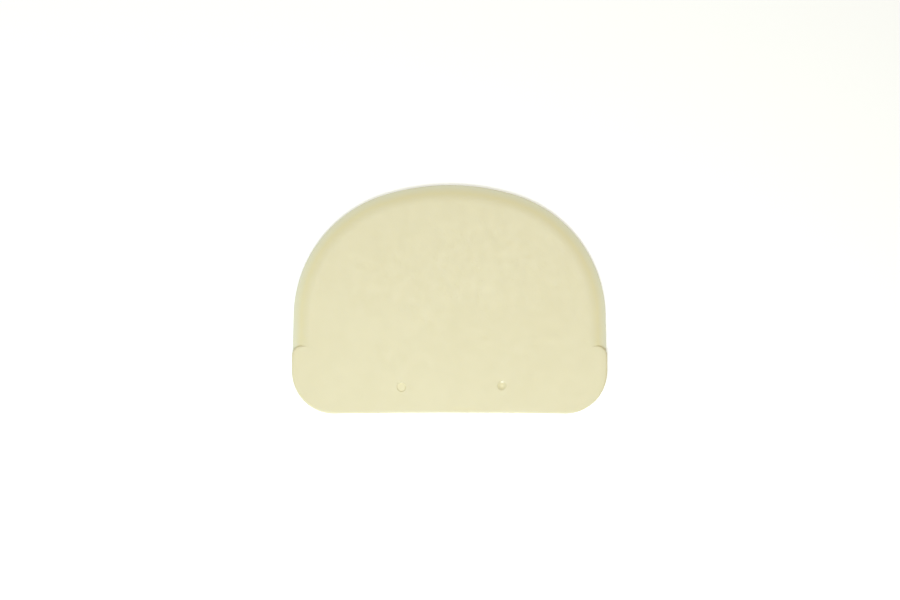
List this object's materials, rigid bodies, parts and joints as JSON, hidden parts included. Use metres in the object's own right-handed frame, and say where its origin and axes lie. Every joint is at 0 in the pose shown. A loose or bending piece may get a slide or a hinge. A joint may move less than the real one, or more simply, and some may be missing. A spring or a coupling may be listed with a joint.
{
  "type": "bowl scraper",
  "caption": "Half-moon bowl scraper in flexible cream plastic: a flat sheet with a thin curved scraping lip and a full-thickness grip band along its straight edge.",
  "frame": {"origin": "middle of the outline's box, on the flat back that the scraper lies on", "axes": "+X along the straight edge, +Y from the straight edge to the top of the curved lip, +Z out of the face"},
  "size_m": [0.12, 0.087, 0.002],
  "materials": {
    "sheet": "satin moulded polypropylene, cream, slightly translucent where it is thin"
  },
  "bodies": {
    "root": {"scraper": "sheet"}
  },
  "joints": []
}
